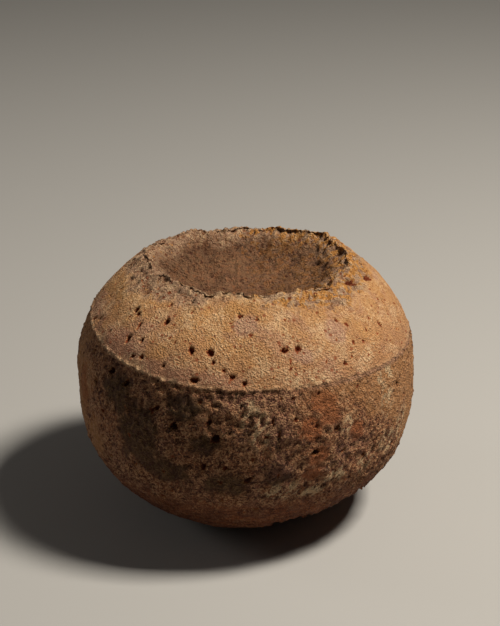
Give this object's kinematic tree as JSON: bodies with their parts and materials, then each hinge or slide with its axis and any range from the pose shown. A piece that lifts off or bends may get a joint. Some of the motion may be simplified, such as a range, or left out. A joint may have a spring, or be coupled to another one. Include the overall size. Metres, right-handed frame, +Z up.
{
  "type": "ball of cheese",
  "caption": "Aged round cheese: a squat ball with a dry pitted rind, a mould seam above its middle, a broad shallow hollow in its top and a small flat spot to rest on.",
  "frame": {"origin": "middle of the ball in plan, on the surface it rests on", "axes": "+Z up through the hollow in the top; -Y is the front, +X the viewer's right, towards which the mould seam runs lower"},
  "size_m": [0.1896, 0.1904, 0.1481],
  "materials": {
    "rind": "dry, dusty and granular: tan above the seam, darker and greyer below it, with small dark pits"
  },
  "bodies": {
    "root": {"cheese_ball": "rind"}
  },
  "joints": []
}
